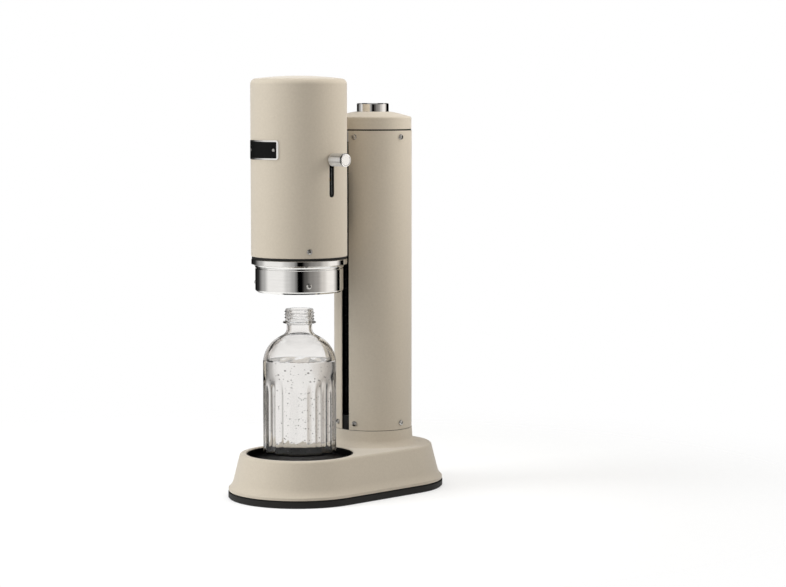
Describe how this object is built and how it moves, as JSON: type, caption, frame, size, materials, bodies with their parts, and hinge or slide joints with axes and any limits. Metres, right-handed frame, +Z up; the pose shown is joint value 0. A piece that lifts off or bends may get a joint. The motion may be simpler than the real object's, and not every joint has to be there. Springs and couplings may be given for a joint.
{
  "type": "sparkling water maker",
  "caption": "Countertop sparkling water maker: a painted carbonating head with a pull-down lever slides down a slotted column over a fluted glass bottle on an obround base.",
  "frame": {"origin": "on the table, in the middle of the obround foot", "axes": "+Z up; -Y is the front, with the badge and the bottle; +Y is the column's side; +X is the lever's side"},
  "size_m": [0.174, 0.298, 0.51],
  "materials": {
    "sand_paint": "matte fine-textured sand paint",
    "black_rubber": "matte black rubber",
    "plain_steel": "plain stainless steel",
    "screw_steel": "satin stainless screws",
    "black_plastic": "matte black plastic",
    "aluminium": "machined aluminium",
    "rod_chrome": "ground chromed rod",
    "brass": "machined brass",
    "spring_steel": "dark spring wire",
    "dark_steel": "black-oxidised steel",
    "polished_chrome": "mirror-polished chromed steel",
    "bronze": "sintered bronze",
    "black_metal": "black-coated steel",
    "badge_steel": "brushed bright steel",
    "badge_black": "black enamel",
    "knob_steel": "turned and brushed steel",
    "bottle_glass": "clear thick glass"
  },
  "bodies": {
    "base": {"base_casting": "sand_paint", "foot_ring": "black_rubber", "base_plate": "plain_steel", "base_screws": "screw_steel", "drip_tray": "black_plastic", "column_shell": "sand_paint", "column_screws": "screw_steel", "lower_ring": "black_plastic", "top_plate": "aluminium", "guide_rods": "dark_steel", "column_cap": "sand_paint", "cap_gasket": "black_rubber", "gas_cylinder": "aluminium", "cylinder_valve": "brass", "valve_socket": "brass", "gas_hose": "black_rubber", "lift_springs": "dark_steel", "latch_post": "aluminium", "latch_spring": "spring_steel", "button_spring": "spring_steel"},
    "release": {"release_button": "polished_chrome", "button_bridge": "aluminium", "release_rod": "plain_steel"},
    "latch": {"latch_bolt": "plain_steel"},
    "head": {"carriage_block": "black_plastic", "carriage_bushes": "bronze", "carriage_arm": "black_metal", "arm_screws": "screw_steel", "head_shell": "sand_paint", "polished_collar": "polished_chrome", "polished_skirt": "polished_chrome", "chamber_liner": "plain_steel", "guide_ring": "aluminium", "head_gasket": "black_rubber", "head_screws": "screw_steel", "skirt_screws": "screw_steel", "badge_plate": "badge_steel", "badge_field": "badge_black", "badge_screws": "screw_steel", "head_frame": "aluminium", "valve_block": "brass", "bottle_seal": "black_rubber", "nozzle_tube": "plain_steel", "gas_feed_tube": "brass", "relief_valve": "brass", "lever_guides": "rod_chrome", "lever_springs": "spring_steel", "valve_spring": "spring_steel"},
    "valve": {"valve_plunger": "plain_steel"},
    "lever": {"lever_knob": "knob_steel", "lever_stem": "plain_steel", "lever_slider": "black_metal"},
    "bottle": {"glass_bottle": "bottle_glass"}
  },
  "joints": [
    {"name": "head_slide", "type": "slide", "parent": "base", "child": "head", "axis": [0, 0, -1], "range_m": [0, 0.192], "stiffness_N_per_m": 80, "springref_m": -0.6, "deforming": ["lift_springs", "gas_hose"]},
    {"name": "lever_slide", "type": "slide", "parent": "head", "child": "lever", "axis": [0, 0, -1], "range_m": [0, 0.041], "stiffness_N_per_m": 150, "springref_m": -0.03, "deforming": ["lever_springs"]},
    {"name": "valve_push", "type": "slide", "parent": "head", "child": "valve", "axis": [-1, 0, 0], "range_m": [0, 0.00501], "deforming": ["valve_spring"]},
    {"name": "release_push", "type": "slide", "parent": "base", "child": "release", "axis": [0, 0, -1], "range_m": [0, 0.004], "stiffness_N_per_m": 900, "springref_m": -0.008, "deforming": ["button_spring"]},
    {"name": "latch_draw", "type": "slide", "parent": "base", "child": "latch", "axis": [1, 0, 0], "range_m": [0, 0.00261], "deforming": ["latch_spring"]},
    {"name": "bottle_out", "type": "slide", "parent": "base", "child": "bottle", "axis": [0, -0.9578, 0.2873], "range_m": [0, 0.146]}
  ],
  "couplings": [
    {"joint": "valve_push", "follows": "lever_slide", "ratio": 0.12195},
    {"joint": "latch_draw", "follows": "release_push", "ratio": 0.65}
  ]
}
